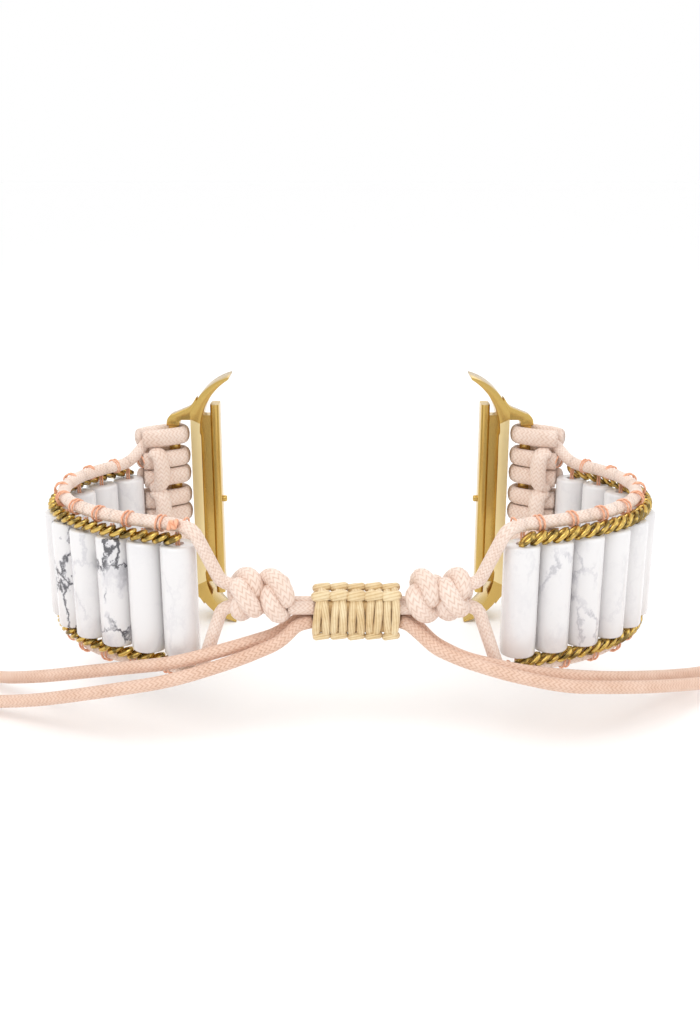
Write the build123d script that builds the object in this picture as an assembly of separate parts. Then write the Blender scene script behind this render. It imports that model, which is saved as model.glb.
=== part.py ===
from build123d import *
from math import cos, sin, tan, radians, sqrt
import os

# Bead band for a wrist, closed round a loop and standing on its edge.
# Millimetres. +Z is up, along the beads. The clasp is at -Y and the two metal adapters are at -X and +X.
# The origin is the centre of the seat between the adapters that takes the case which the band carries.
# The right half is drawn, and the left half is its mirror image, apart from the clasp and the tails.

# Seat and adapters
SEAT_SPAN = 40.0           # between the two seating faces
SEAT_CORNER = 8.25         # radius of the case corners that the wings hug
SEAT_CORNER_Z = 10.0       # height at which those corners start
ADAPTER_FRONT = 2.8        # from the tongue's middle plane to the face on the wrist side
ADAPTER_BACK = 2.4         # and to the outer face
RAIL_WIDTH = 1.4           # the flat rail beside the seat
WING_REACH = 3.9           # how far the wings reach over the seat from its face
WING_GAP = 0.15            # between a wing and the case corner
WING_TIP_THICK = 0.3       # the wing's thickness at its blunt tip
WING_MIDDLE_THICK = 0.85   # and halfway round the case corner
EAR_TOP = 12.6             # top of the ear, over its round corner
EAR_THICK = 0.9            # of the ear in the plane of the seat
EAR_DROP = 0.75            # the ear's outer end reaches this far further down round the bar
EAR_DEPTH = 2.0            # of the ear from the wrist side to the outer side
EAR_EDGE = 0.1             # metal of the ear outside the bar
EAR_RISE = 0.7             # the ear's top slopes up by this towards the wing
EAR_FLARE = 1.5            # and by this more where it runs into the wing
EAR_ROOT = 0.5             # the ear starts this far out from the seating face
EAR_FILLET = 1.3           # the round outer corner
EAR_THROAT = 0.4           # the round between the ear's underside and its outer end
BAR_R = 0.75
BAR_OUT = 3.75             # from the seating face to the axis of the bar that the cords are hitched on
BAR_Y = -1.8

# Tongue and latch
TONGUE_LENGTH = 27.0
TONGUE_NECK = 1.9
TONGUE_HEAD = 2.9
TONGUE_NECK_DEEP = 1.1
TONGUE_HEAD_DEEP = 1.2
TONGUE_FILLET = 0.5
LATCH_PIN_R = 0.45
LATCH_FIT = 0.03
LATCH_PROUD = 0.6          # how far the pin stands out of the tongue
LATCH_PIN_LENGTH = 1.7
LATCH_BORE_DEEP = 3.2
SPRING_WALL = 0.14
SPRING_FIT = 0.04          # at each end and round the spring

# Cords, thread and chain
CORD_R = 0.75
THREAD_R = 0.15
THREAD_FIT = 0.02
CHAIN_WIRE_R = 0.2
CHAIN_LINK_LONG = 2.35
CHAIN_LINK_WIDE = 1.45
CHAIN_PITCH = 1.5
CHAIN_SHORT = 0.6          # the chain ends this far short of the last gap
LEAD_OUT = 0.9             # the edge cord passes the last gap this far towards the outer side
WRAP_LEAVE_SHARE = 0.12    # of the way from the wrap's height to the beads', where the edge cord leaves it
CORD_START_GAP = 0.12      # between the end wrap and the start of the edge cord

# Beads
BEAD_R = 2.0
BEAD_LENGTH = 13.0
BEAD_BORE_R = 0.5
BEAD_EDGE = 0.18
BEAD_PITCH = 4.2
STRAP_DROP = 1.9           # the strap's middle lies this far below the seat's middle

# Plan of one strap: the heading of its first piece from the bar, and the turn at each gap, in degrees
FIRST_HEADING = 34
BEAD_GAP_TURNS = (6, 12, 17, 19, 19, 18, 15, 12, 7, 2, 19)
BEADS = len(BEAD_GAP_TURNS) - 1

# Cord hitches on the bar
WRAPS = 8
WRAP_PITCH = 2.72
WRAP_HEIGHT = 2.5
WRAP_THICK = 1.25
WRAP_FIT = 0.05
WRAP_ROUND = 0.55
WRAP_LEG = 3.9
HITCH_LENGTH = 5.0         # from the bar to the first bead's gap
BIGHT_WIDE = 2.6
BIGHT_THICK = 1.3
BIGHT_LIFT = 0.03
BIGHT_AT = 3.1             # middle of a bight, from the bar
BIGHT_PAIRS = ((1, 2), (3, 4), (5, 6))

# Edge stack over the bead ends: how far above the end, and how far towards the outer side
CHAIN_RISE = 0.74
CHAIN_OUT = 1.0
CORD_RISE = 2.05
CORD_IN = 0.35

# Clasp
KNOT_R = 3.0
KNOT_LOBE = 3.7            # length of one of the knot's two lobes
KNOT_LOBE_GAP = 3.5
KNOT_FILLET = 1.75
LEAD_LENGTH = 7.0          # from the last bead's gap to the middle of the knot
KNOT_RISE = 0.7            # the knots' middle above the strap's middle
SLIDER_DROP = 2.0          # the slider's middle below the knots' middle
SLIDER_LENGTH = 9.6
SLIDER_WALL = 0.9
SLIDER_SHIFT = 0.7         # the slider sits a little to the right
SLIDER_RIBS = 9
SLIDER_RIB_PROUD = 0.3
SLIDER_RIB_SHARE = 0.82    # a rib's width over its pitch
SLIDER_RIDGE_R = 0.55
SLIDER_FIT = 0.04
CORE_SPREAD = 0.8          # each cord's offset from the clasp's axis, both ways
CORE_GAP = 0.05
CORE_RECESS = 0.2          # the cords inside the slider end this far inside its faces

# Arcs of the cords: each one's tangent as a share of the shorter run beside it
FREE_SHARE = 0.45
EDGE_SHARE = 0.36

# Tails
TAIL_KNOT_R = 1.7
TAIL_KNOT_WAIST = 1.0
THREAD_KNOT_R = 0.6
THREAD_KNOT_RISE = 0.4     # above the upper edge cord's middle

OVERRUN = 1.0              # how far a cutting shape runs past what it cuts

# Derived sizes
SEAT_X = SEAT_SPAN / 2
RAIL_X = SEAT_X + RAIL_WIDTH
BAR_X = SEAT_X + BAR_OUT
WING_TIP_X = SEAT_X - WING_REACH
WING_INNER_R = SEAT_CORNER + WING_GAP
WING_TIP_ACROSS = SEAT_CORNER - WING_REACH
WING_TIP_Z = SEAT_CORNER_Z + sqrt(WING_INNER_R ** 2 - WING_TIP_ACROSS ** 2) + WING_TIP_THICK
FLOOR_Z = -WING_TIP_Z      # the level that the adapters and the tails stand on
WRAP_R = BAR_R + WRAP_FIT + WRAP_THICK / 2
STRAP_Z = -STRAP_DROP
BEAD_TOP = STRAP_Z + BEAD_LENGTH / 2
BEAD_BOTTOM = STRAP_Z - BEAD_LENGTH / 2
CLASP_Z = STRAP_Z + KNOT_RISE
SLIDER_Z = CLASP_Z - SLIDER_DROP
LATCH_BORE_R = LATCH_PIN_R + LATCH_FIT
KNOT_HALF = (KNOT_LOBE_GAP + KNOT_LOBE) / 2
TONGUE_FACE_X = SEAT_X - TONGUE_NECK_DEEP - TONGUE_HEAD_DEEP
SLIDER_BORE = 2 * (CORE_SPREAD + CORD_R + SLIDER_FIT)
SLIDER_OUTER = SLIDER_BORE + 2 * SLIDER_WALL


def step_along(point, heading, distance):
    """The plan point that lies a distance away. Headings turn from +X towards -Y."""
    return (point[0] + distance * cos(radians(heading)), point[1] - distance * sin(radians(heading)))


def strap_plan():
    """Centres and headings of the beads, from the adapter to the clasp, and the gap points between them."""
    heading = FIRST_HEADING
    gap = step_along((BAR_X, BAR_Y), heading, HITCH_LENGTH)
    gaps, beads = [gap], []
    for turn in BEAD_GAP_TURNS[:-1]:
        heading = heading + turn
        centre = step_along(gap, heading, BEAD_PITCH / 2)
        gap = step_along(centre, heading, BEAD_PITCH / 2)
        beads.append((centre, heading))
        gaps.append(gap)
    return gaps, beads, heading + BEAD_GAP_TURNS[-1]


GAPS, BEAD_PLACES, CLASP_HEADING = strap_plan()
KNOT_CENTRE = step_along(GAPS[-1], CLASP_HEADING, LEAD_LENGTH)
CLASP_Y = KNOT_CENTRE[1]
KNOT_X = KNOT_CENTRE[0]


def beside(place, out):
    """A plan point beside a bead's centre, towards the band's outer side if out is positive."""
    (x, y), heading = place
    return (x + out * sin(radians(heading)), y + out * cos(radians(heading)))


def side_shape(shape, side):
    """The drawn shape for the right side, and its mirror image for the left side."""
    if side == "right":
        return shape
    return Compound([mirror(solid, about=Plane.YZ) for solid in shape.solids()])


def save(name, shape):
    """Writes one node and prints its volume."""
    shape.label = name
    export_step(shape, f"parts/{name}.step")
    print(f"{name}: {shape.volume:.3f} mm3")


# Adapter

def adapter_outline():
    """The adapter's flat outline, seen along Y: the rail beside the seat, and a crescent wing above and below."""
    corner_x = SEAT_X - SEAT_CORNER
    seat_end = SEAT_CORNER_Z - WING_GAP
    inner_start = (SEAT_X + WING_GAP, SEAT_CORNER_Z)
    inner_tip = (WING_TIP_X, WING_TIP_Z - WING_TIP_THICK)
    outer_tip = (WING_TIP_X, WING_TIP_Z)
    root = (RAIL_X, EAR_TOP)
    diagonal = [radius / sqrt(2) for radius in (WING_INNER_R, WING_INNER_R + WING_MIDDLE_THICK)]
    inner_middle, outer_middle = [(corner_x + d, SEAT_CORNER_Z + d) for d in diagonal]
    upper = [
        *Polyline((SEAT_X, 0), (SEAT_X, seat_end), (SEAT_X + WING_GAP, seat_end), inner_start).edges(),
        *ThreePointArc(inner_start, inner_middle, inner_tip).edges(),
        *Line(inner_tip, outer_tip).edges(),
        *ThreePointArc(outer_tip, outer_middle, root).edges(),
        *Line(root, (RAIL_X, 0)).edges(),
    ]
    return make_face(upper + [mirror(edge, about=Plane.XZ) for edge in upper])


def ear(up):
    """One ear, which carries an end of the bar. It flares from the wing and hooks down round the bar's end."""
    root, outer = SEAT_X + EAR_ROOT, BAR_X + BAR_R + EAR_EDGE
    inner = BAR_X - BAR_R - EAR_EDGE
    under = EAR_TOP - EAR_THICK
    high = EAR_TOP + EAR_RISE
    flare = (RAIL_X, high)
    corners = ((root, under), (inner, under), (inner, under - EAR_DROP), (outer, under - EAR_DROP),
               (outer, EAR_TOP), flare, (root, high + EAR_FLARE))
    face = make_face(Polyline(*corners, close=True))
    for place, radius in ((corners[1], EAR_THROAT), (corners[4], EAR_FILLET), (flare, EAR_FILLET)):
        face = fillet(face.vertices().sort_by_distance((*place, 0))[0], radius)
    solid = extrude(Plane.XZ * face, EAR_DEPTH / 2, both=True)
    solid = Pos(0, BAR_Y, 0) * solid
    return solid if up > 0 else mirror(solid, about=Plane.XY)


def adapter():
    """One metal adapter: plate, tongue, two ears and the bar, with the latch's bore."""
    depth = ADAPTER_FRONT + ADAPTER_BACK
    plate = Pos(0, ADAPTER_BACK, 0) * extrude(Plane.XZ * adapter_outline(), depth)
    neck = Pos(SEAT_X - TONGUE_NECK_DEEP / 2, 0, 0)
    neck *= Box(TONGUE_NECK_DEEP, TONGUE_NECK, TONGUE_LENGTH - TONGUE_HEAD)
    head = Box(TONGUE_HEAD_DEEP, TONGUE_HEAD, TONGUE_LENGTH)
    head = fillet(head.edges().filter_by(Axis.Z), TONGUE_FILLET)
    head = Pos(TONGUE_FACE_X + TONGUE_HEAD_DEEP / 2, 0, 0) * head
    bar = Pos(BAR_X, BAR_Y, 0) * Cylinder(BAR_R, 2 * (EAR_TOP - EAR_FILLET))
    bore = Pos(TONGUE_FACE_X, 0, 0) * Rot(0, 90, 0)
    bore *= Cylinder(LATCH_BORE_R, LATCH_BORE_DEEP, align=(Align.CENTER, Align.CENTER, Align.MIN))
    return plate + neck + head + ear(1) + ear(-1) + bar - bore


def latch_pin():
    """The sprung pin in the tongue, which clicks into the case's dimple."""
    pin = Cylinder(LATCH_PIN_R, LATCH_PIN_LENGTH, align=(Align.CENTER, Align.CENTER, Align.MIN))
    pin = fillet(pin.edges().sort_by(Axis.Z)[0], LATCH_PIN_R / 2)
    return Pos(TONGUE_FACE_X - LATCH_PROUD, 0, 0) * Rot(0, 90, 0) * pin


def latch_spring():
    """The spring behind the pin, as a sleeve of its outer size."""
    start = TONGUE_FACE_X - LATCH_PROUD + LATCH_PIN_LENGTH + SPRING_FIT
    length = TONGUE_FACE_X + LATCH_BORE_DEEP - SPRING_FIT - start
    outer = LATCH_BORE_R - SPRING_FIT
    at_min = (Align.CENTER, Align.CENTER, Align.MIN)
    sleeve = Cylinder(outer, length, align=at_min) - Cylinder(outer - SPRING_WALL, length, align=at_min)
    return Pos(start, 0, 0) * Rot(0, 90, 0) * sleeve


# Cord hitches

def wrap_z(index):
    """Height of one wrap of cord on the bar."""
    return (WRAPS / 2 - index - 1 / 2) * WRAP_PITCH


def hitch():
    """The cords hitched on the bar: a row of flattened wraps, and bights across pairs of them."""
    section = Pos(WRAP_R, 0) * RectangleRounded(WRAP_THICK, WRAP_HEIGHT, WRAP_ROUND)
    ring = revolve(Plane.XZ * section, Axis.Z, 180)
    legs = []
    for flip in (1, -1):
        leg_section = Pos(flip * WRAP_R, 0) * RectangleRounded(WRAP_THICK, WRAP_HEIGHT, WRAP_ROUND)
        legs.append(extrude(Plane.XZ * leg_section, WRAP_LEG))
    wrap = ring + legs[0] + legs[1]
    # The wrap opens towards -Y as drawn, and is turned to the strap's first heading.
    pieces = [Pos(0, 0, wrap_z(i)) * wrap for i in range(WRAPS)]
    lift = WRAP_R + WRAP_THICK / 2 + BIGHT_LIFT + BIGHT_THICK / 2
    for first, last in BIGHT_PAIRS:
        high = wrap_z(first) - wrap_z(last) + WRAP_HEIGHT
        bight = Box(BIGHT_THICK, BIGHT_WIDE, high)
        bight = fillet(bight.edges().filter_by(Axis.Z), BIGHT_THICK / 2 - BIGHT_LIFT)
        middle = (wrap_z(first) + wrap_z(last)) / 2
        pieces.append(Pos(-lift, -BIGHT_AT, middle) * bight)
    turned = Pos(BAR_X, BAR_Y, 0) * Rot(0, 0, 90 - FIRST_HEADING)
    return turned * Compound(pieces)


# Beads

def bead(place):
    """One tube bead with softened rims and a bore."""
    (x, y), heading = place
    body = Cylinder(BEAD_R, BEAD_LENGTH)
    body = fillet(body.edges(), BEAD_EDGE) - Cylinder(BEAD_BORE_R, BEAD_LENGTH + OVERRUN)
    return Pos(x, y, STRAP_Z) * Rot(0, 0, -heading) * body


# Edge cords, chains and thread

def arc_radii(points, share=FREE_SHARE):
    """The largest arc at each corner of a route: a share of its shorter run, over the tangent of half the turn."""
    vectors = [Vector(*p) for p in points]
    radii = []
    for a, b, c in zip(vectors, vectors[1:], vectors[2:]):
        turn = (b - a).get_angle(c - b)
        shorter = min((b - a).length, (c - b).length)
        radii.append(share * shorter / tan(radians(turn) / 2))
    return radii


def tube(points, radius, share=FREE_SHARE):
    """A round tube along straight runs joined by tangent arcs."""
    path = FilletPolyline(*points, radius=arc_radii(points, share)).wire()
    section = Plane(path @ 0, z_dir=path % 0) * Circle(radius)
    return sweep(section, path=path), path


def edge_z(up, rise):
    """Height of something that lies a rise beyond the beads' upper or lower ends."""
    return BEAD_TOP + rise if up > 0 else BEAD_BOTTOM - rise


def edge_route(up):
    """Route of an edge cord from its end wrap on the bar, along the beads, to the knot."""
    z = edge_z(up, CORD_RISE)
    wrap = wrap_z(0) if up > 0 else wrap_z(WRAPS - 1)
    start = BAR_R + WRAP_FIT + CORD_R / 2 + CORD_START_GAP
    route = []
    for distance, share in ((start, 0), (WRAP_LEG, WRAP_LEAVE_SHARE)):
        x, y = step_along((BAR_X, BAR_Y), FIRST_HEADING, distance)
        route.append((x, y, wrap + share * (z - wrap)))
    for place in BEAD_PLACES:
        route.append((*beside(place, -CORD_IN), z))
    x, y = GAPS[-1]
    route.append((x, y - LEAD_OUT, z))
    arrive = CLASP_Z + up * (KNOT_R - KNOT_FILLET)
    route.append((KNOT_X + KNOT_HALF + CORD_R, CLASP_Y, arrive + up * CORD_R))
    return route


def edge_cord(up):
    """One waxed cord along an edge of the strap, with its lead to the knot."""
    return tube(edge_route(up), CORD_R, EDGE_SHARE)[0]


def chain_link():
    """One oval link of round wire, lying along X in the XY plane."""
    bend = (CHAIN_LINK_WIDE - 2 * CHAIN_WIRE_R) / 2
    half = CHAIN_LINK_LONG / 2 - CHAIN_WIRE_R - bend
    end = revolve(Plane.XZ * Pos(bend, 0) * Circle(CHAIN_WIRE_R), Axis.Z, 180)
    left_end = Pos(-half, 0, 0) * Rot(0, 0, 90) * end
    right_end = Pos(half, 0, 0) * Rot(0, 0, -90) * end
    run = Rot(0, 90, 0) * Cylinder(CHAIN_WIRE_R, 2 * half)
    return left_end + right_end + Pos(0, bend, 0) * run + Pos(0, -bend, 0) * run


def chain(up):
    """One chain along the outer edge of the bead ends, as separate interlocked links."""
    z = edge_z(up, CHAIN_RISE)
    points = [(*beside(place, CHAIN_OUT), z) for place in BEAD_PLACES]
    first, last = BEAD_PLACES[0], BEAD_PLACES[-1]
    start = step_along(beside(first, CHAIN_OUT), first[1], -BEAD_PITCH / 2)
    finish = step_along(beside(last, CHAIN_OUT), last[1], BEAD_PITCH / 2 - CHAIN_SHORT)
    points = [(*start, z)] + points[1:-1] + [(*finish, z)]
    path = FilletPolyline(*points, radius=arc_radii(points)).wire()
    count = int((path.length - CHAIN_LINK_LONG) / CHAIN_PITCH) + 1
    slack = path.length - (count - 1) * CHAIN_PITCH
    link = chain_link()
    links = []
    for i in range(count):
        share = (slack / 2 + i * CHAIN_PITCH) / path.length
        frame = Plane(path @ share, x_dir=path % share, z_dir=(0, 0, 1))
        roll = 45 if i % 2 else -45
        links.append(frame * Rot(roll, 0, 0) * link)
    return Compound(links)


def ladder_thread():
    """The thread that strings the beads: runs through the bores, and turns round both edge cords at each gap."""
    pieces = []
    rise = CORD_RISE - CORD_R - THREAD_FIT
    run_high = BEAD_LENGTH + 2 * rise
    for (x, y), _ in BEAD_PLACES:
        pieces.append(Pos(x, y, STRAP_Z) * Cylinder(2 * THREAD_R, run_high))
    for up in (1, -1):
        over_beads = [Vector(*beside(place, -CORD_IN), edge_z(up, CORD_RISE)) for place in BEAD_PLACES]
        for a, b in zip(over_beads, over_beads[1:]):
            frame = Plane((a + b) / 2, z_dir=b - a)
            for side in (-1, 1):
                turn = frame * Pos(0, 0, side * (THREAD_R + THREAD_FIT))
                pieces.append(turn * Torus(CORD_R + THREAD_R + THREAD_FIT, THREAD_R))
    return Compound(pieces)


# Clasp

def cord_knot():
    """A double knot of two cords: two fat round lobes side by side."""
    lobe = Cylinder(KNOT_R, KNOT_LOBE)
    lobe = Rot(0, 90, 0) * fillet(lobe.edges(), KNOT_FILLET)
    lobes = Pos(KNOT_LOBE_GAP / 2, 0, 0) * lobe + Pos(-KNOT_LOBE_GAP / 2, 0, 0) * lobe
    return Pos(KNOT_X, CLASP_Y, CLASP_Z) * lobes


def slider():
    """The sliding clasp: a knotted sleeve, as a ribbed tube with a ridge of knots along its top and bottom."""
    pitch = SLIDER_LENGTH / SLIDER_RIBS
    sleeve = RectangleRounded(SLIDER_OUTER, SLIDER_OUTER, SLIDER_WALL)
    rib = RectangleRounded(SLIDER_OUTER + SLIDER_RIB_PROUD, SLIDER_OUTER + SLIDER_RIB_PROUD, SLIDER_WALL)
    bore = RectangleRounded(SLIDER_BORE, SLIDER_BORE, SLIDER_WALL / 2)
    solid = extrude(Plane.YZ * sleeve, SLIDER_LENGTH / 2, both=True)
    for i in range(SLIDER_RIBS):
        x = (i + 1 / 2) * pitch - SLIDER_LENGTH / 2
        solid += Pos(x, 0, 0) * extrude(Plane.YZ * rib, SLIDER_RIB_SHARE * pitch / 2, both=True)
        bump = Pos(x, 0, 0) * Rot(90, 0, 0) * Cylinder(SLIDER_RIDGE_R, SLIDER_BORE)
        if i % 2 == 0:
            solid += Pos(0, 0, SLIDER_OUTER / 2) * bump
            solid += Pos(0, 0, -SLIDER_OUTER / 2) * bump
    solid -= extrude(Plane.YZ * bore, SLIDER_LENGTH, both=True)
    return Pos(SLIDER_SHIFT, CLASP_Y, SLIDER_Z) * solid


def straight_cord(start, finish, y, z):
    """A straight run of cord along X."""
    return Pos((start + finish) / 2, y, z) * Rot(0, 90, 0) * Cylinder(CORD_R, abs(finish - start))


def core_spots(up):
    """Middle line of the two cords that run side by side in the upper or lower half of the slider."""
    return [(CLASP_Y + side * CORE_SPREAD, SLIDER_Z + up * CORE_SPREAD) for side in (-1, 1)]


def slider_cords():
    """The four cords inside the slider, two from each strap."""
    half = SLIDER_LENGTH / 2 - CORE_RECESS
    cords = []
    for up in (1, -1):
        for y, z in core_spots(up):
            cords.append(straight_cord(SLIDER_SHIFT - half, SLIDER_SHIFT + half, y, z))
    return Compound(cords)


def core_cords(side):
    """The two cords between one knot and the slider, which grow longer as the loop opens."""
    sign = 1 if side == "right" else -1
    slider_end = SLIDER_SHIFT + sign * (SLIDER_LENGTH / 2 + CORE_GAP)
    knot_end = sign * (KNOT_X - KNOT_HALF - CORE_GAP)
    return Compound([straight_cord(slider_end, knot_end, y, z) for y, z in core_spots(1)])


# Tails: routes chosen by hand. The slider's end face gives each route its first point.
TAIL_DOWN = FLOOR_Z + CORD_R
TAIL_ROUTES = {
    "right_tail_front": ((6.5, -34.7, -4.28), (7.7, -35.2, -5.2), (9.4, -36.3, -6.5), (12.4, -37.5, -7.4),
                         (16.8, -38.2, -8.6), (23.5, -38.4, -10.1), (33.0, -34.6, -12.0), (42.5, -26.6, -15.4),
                         (53.0, -21.8, TAIL_DOWN), (64.5, -20.6, TAIL_DOWN), (76.0, -23.8, TAIL_DOWN)),
    "right_tail_rear": ((6.5, -32.85, -4.28), (7.7, -32.9, -5.35), (9.4, -33.8, -6.9), (12.6, -35.5, -8.0),
                        (19.5, -36.4, -9.3), (28.0, -34.5, -10.9), (36.0, -29.0, -13.4), (44.0, -21.8, -16.3),
                        (53.5, -16.5, TAIL_DOWN), (65.0, -14.5, TAIL_DOWN), (76.0, -16.8, TAIL_DOWN)),
    "left_tail_front": ((-5.8, -34.7, -4.3), (-7.8, -35.9, -6.0), (-12.4, -37.0, -7.6), (-19.5, -38.2, -9.5),
                        (-28.5, -36.8, -11.6), (-36.5, -33.2, -14.4), (-44.5, -29.2, -16.5),
                        (-55.0, -25.0, TAIL_DOWN), (-66.5, -24.6, TAIL_DOWN), (-77.5, -27.6, TAIL_DOWN)),
    "left_tail_rear": ((-5.8, -32.8, -4.4), (-8.2, -33.4, -6.0), (-12.6, -35.7, -6.5), (-19.0, -36.7, -8.0),
                       (-28.0, -33.9, -10.2), (-36.5, -29.6, -13.1), (-44.0, -23.4, -16.2),
                       (-53.5, -17.4, TAIL_DOWN), (-64.5, -15.4, TAIL_DOWN), (-76.0, -18.0, TAIL_DOWN)),
}


def tail_route(name):
    """The route of one tail, from the slider's end face."""
    sign = 1 if name.startswith("right") else -1
    row = 0 if name.endswith("front") else 1
    y, z = core_spots(-1)[row]
    return [(SLIDER_SHIFT + sign * (SLIDER_LENGTH / 2 + CORE_GAP), y, z), *TAIL_ROUTES[name]]


def tail_knot(route):
    """The stopper knot at a tail's end: a fat ring round the cord."""
    end, before = Vector(*route[-1]), Vector(*route[-2])
    direction = (end - before).normalized()
    centre = end + direction * TAIL_KNOT_WAIST
    lift = Vector(0, 0, TAIL_KNOT_R - CORD_R)
    frame = Plane(centre + lift, z_dir=direction)
    ball = Sphere(TAIL_KNOT_R)
    cut = Pos(0, 0, -TAIL_KNOT_R - TAIL_KNOT_WAIST) * Box(2 * TAIL_KNOT_R, 2 * TAIL_KNOT_R, 2 * TAIL_KNOT_R)
    return frame * (ball - cut)


def thread_knot():
    """The thread's finishing knot, on the outer side of the upper edge cord over the last bead."""
    x, y = beside(BEAD_PLACES[-1], CORD_R + THREAD_FIT + THREAD_KNOT_R - CORD_IN)
    z = edge_z(1, CORD_RISE) + THREAD_KNOT_RISE
    return Pos(x, y, z) * Sphere(THREAD_KNOT_R)


def main():
    os.makedirs("parts", exist_ok=True)
    for side in ("left", "right"):
        save(f"{side}_adapter", side_shape(adapter(), side))
        save(f"{side}_latch_pin", side_shape(latch_pin(), side))
        save(f"{side}_latch_spring", side_shape(latch_spring(), side))
        save(f"{side}_bar_hitch", side_shape(hitch(), side))
        for i, place in enumerate(BEAD_PLACES):
            save(f"{side}_bead_{BEADS - i:02d}", side_shape(bead(place), side))
        for up, word in ((1, "upper"), (-1, "lower")):
            save(f"{side}_{word}_edge_cord", side_shape(edge_cord(up), side))
            save(f"{side}_{word}_chain", side_shape(chain(up), side))
        save(f"{side}_ladder_thread", side_shape(ladder_thread(), side))
        save(f"{side}_cord_knot", side_shape(cord_knot(), side))
        save(f"{side}_core_cords", core_cords(side))
    save("left_thread_knot", side_shape(thread_knot(), "left"))
    save("slider", slider())
    save("slider_cords", slider_cords())
    for name in TAIL_ROUTES:
        route = tail_route(name)
        solid, path = tube(route, CORD_R)
        save(name, solid)
        save(name + "_knot", tail_knot(route))
        print(f"{name}: {path.length:.1f} mm long, arcs", [round(r, 1) for r in arc_radii(route)])
    print("Gaps between the pieces of the right strap:", [tuple(round(v, 2) for v in g) for g in GAPS])


main()
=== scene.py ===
# %% [markdown]
# # A bead band with a sliding clasp
#
# Twenty stone tube beads stand side by side in two straps. Waxed cords run along the bead ends, a thread
# ties each bead to them, and brass chains lie over the outer edges. A knotted slider closes the loop, and
# the gold adapters at the other end slide into a case.
#
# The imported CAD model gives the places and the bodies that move. Everything is drawn in millimetres in the
# model's own frame, and scaled to metres when a mesh is finished.

# %% Load the frame
from math import atan2, copysign, cos, pi, radians, sin, sqrt

import bmesh
import bpy
from mathutils import Matrix, Vector


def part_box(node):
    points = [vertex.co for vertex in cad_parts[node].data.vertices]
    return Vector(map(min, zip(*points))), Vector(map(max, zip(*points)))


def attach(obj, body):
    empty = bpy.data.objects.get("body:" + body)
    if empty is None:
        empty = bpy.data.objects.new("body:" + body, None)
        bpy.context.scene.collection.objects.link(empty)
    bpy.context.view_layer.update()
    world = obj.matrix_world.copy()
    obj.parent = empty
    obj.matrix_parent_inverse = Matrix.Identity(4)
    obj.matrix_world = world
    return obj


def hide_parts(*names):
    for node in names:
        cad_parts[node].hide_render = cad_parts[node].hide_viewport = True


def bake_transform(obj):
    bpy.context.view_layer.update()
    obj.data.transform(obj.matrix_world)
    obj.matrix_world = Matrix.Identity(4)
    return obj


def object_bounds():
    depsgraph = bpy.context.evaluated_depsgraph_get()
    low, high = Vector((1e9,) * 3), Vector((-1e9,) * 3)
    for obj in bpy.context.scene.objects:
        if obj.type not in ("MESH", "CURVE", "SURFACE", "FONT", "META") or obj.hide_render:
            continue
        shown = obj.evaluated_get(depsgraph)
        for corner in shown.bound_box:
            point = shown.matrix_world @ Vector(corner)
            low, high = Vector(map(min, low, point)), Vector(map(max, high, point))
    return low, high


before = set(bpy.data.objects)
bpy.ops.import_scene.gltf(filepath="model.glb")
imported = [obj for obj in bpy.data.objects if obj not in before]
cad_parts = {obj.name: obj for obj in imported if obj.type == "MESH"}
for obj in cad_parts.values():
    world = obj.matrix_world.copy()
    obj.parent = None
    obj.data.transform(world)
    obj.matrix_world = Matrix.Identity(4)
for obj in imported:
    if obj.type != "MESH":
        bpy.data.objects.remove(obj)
cad_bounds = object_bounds()
MM = 0.001

# %% [markdown]
# ## Camera, floor and light
#
# The camera looks down a little at the clasp. It stands close, so near pieces look clearly larger than far
# ones, and a longer lens from further away wouldn't match. The floor and the lights are plain.

# %% Camera, floor and light
FLOOR_Z = cad_bounds[0].z
FLOOR_SIZE, FLOOR_DROP = 6.0, 0.02 * MM
CAMERA_TARGET = Vector((0, -4.5, -0.4)) * MM
CAMERA_DISTANCE = 150 * MM
CAMERA_ELEVATION = radians(17.1)
CAMERA_LENS, CAMERA_NEAR = 39.0, 1 * MM
LIGHTS = {                 # where each one stands and its size in millimetres, and its watts
    "key light": ((-110, -130, 260), 200, 0.24),
    "fill light": ((190, -90, 130), 160, 0.06),
    "back light": ((20, 190, 160), 180, 0.08),
}


def to_linear(hexcode):
    """An sRGB hex colour as linear red, green, blue and alpha."""
    parts = [int(hexcode[i:i + 2], 16) / 255 for i in (1, 3, 5)]
    return (*[c / 12.92 if c <= 0.04045 else ((c + 0.055) / 1.055) ** 2.4 for c in parts], 1.0)


def point_at(obj, target):
    """Turns a camera or light to look at a target."""
    obj.rotation_euler = (target - obj.location).to_track_quat("-Z", "Y").to_euler()


def area_light(name, place, size, power):
    """A soft square light that looks at the band."""
    data = bpy.data.lights.new(name, "AREA")
    data.size = size * MM
    data.energy = power
    light = bpy.data.objects.new(name, data)
    light.location = Vector(place) * MM
    bpy.context.collection.objects.link(light)
    point_at(light, CAMERA_TARGET)


scene = bpy.context.scene
scene.view_settings.view_transform = "Standard"
camera_data = bpy.data.cameras.new("camera")
camera_data.lens = CAMERA_LENS
camera_data.clip_start = CAMERA_NEAR
camera = bpy.data.objects.new("camera", camera_data)
bpy.context.collection.objects.link(camera)
back = Vector((0, -cos(CAMERA_ELEVATION), sin(CAMERA_ELEVATION)))
camera.location = CAMERA_TARGET + back * CAMERA_DISTANCE
point_at(camera, CAMERA_TARGET)
scene.camera = camera

for name, (place, size, power) in LIGHTS.items():
    area_light(name, place, size, power)
world = bpy.data.worlds.new("studio")
world.use_nodes = True
background = world.node_tree.nodes["Background"]
background.inputs["Color"].default_value = to_linear("#ffffff")
background.inputs["Strength"].default_value = 1.0
scene.world = world
print("camera at", [round(c / MM, 1) for c in camera.location], "mm")

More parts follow.
